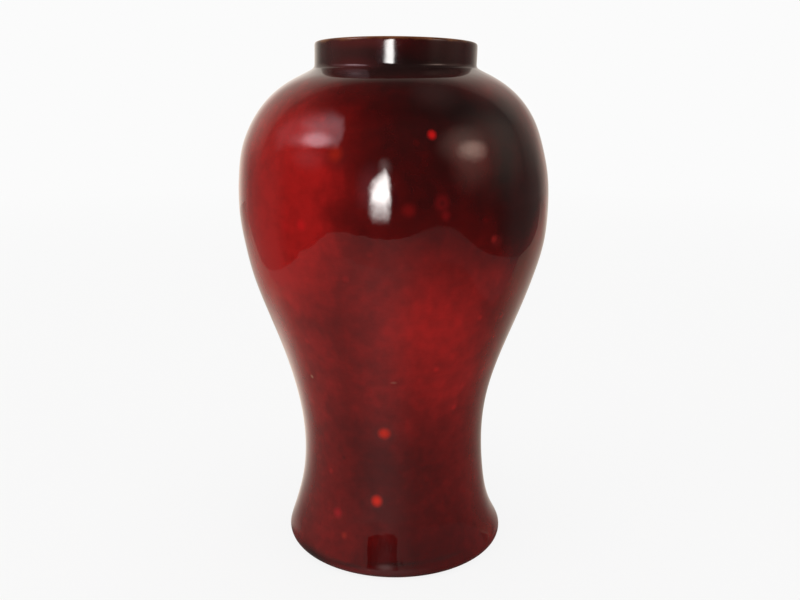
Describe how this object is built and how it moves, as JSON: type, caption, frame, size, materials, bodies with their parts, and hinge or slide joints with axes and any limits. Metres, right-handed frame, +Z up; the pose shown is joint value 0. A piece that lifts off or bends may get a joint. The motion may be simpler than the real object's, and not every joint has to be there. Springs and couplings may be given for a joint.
{
  "type": "baluster vase",
  "caption": "Free-standing baluster vase: short upright collar, wide round shoulder, narrow waist and flared foot, in a glossy copper-red glaze over fired clay.",
  "frame": {"origin": "centre of the foot ring, on the plane that the vase stands on", "axes": "+Z up along the axis that the vase is turned about, +X to the right of the pictured view, +Y away from it"},
  "size_m": [0.1808, 0.1808, 0.3],
  "materials": {
    "bare_clay": "unglazed fired stoneware, matt, warm buff",
    "copper_red_glaze": "high-gloss copper-red glaze, mottled from bright red to purple-brown, thin amber at the lip",
    "liner_glaze": "glossy pale cream liner glaze",
    "base_glaze": "glossy pale buff glaze under the foot"
  },
  "bodies": {
    "root": {"vase_body": "bare_clay", "outer_glaze": "copper_red_glaze", "liner_glaze": "liner_glaze", "base_glaze": "base_glaze"}
  },
  "joints": []
}
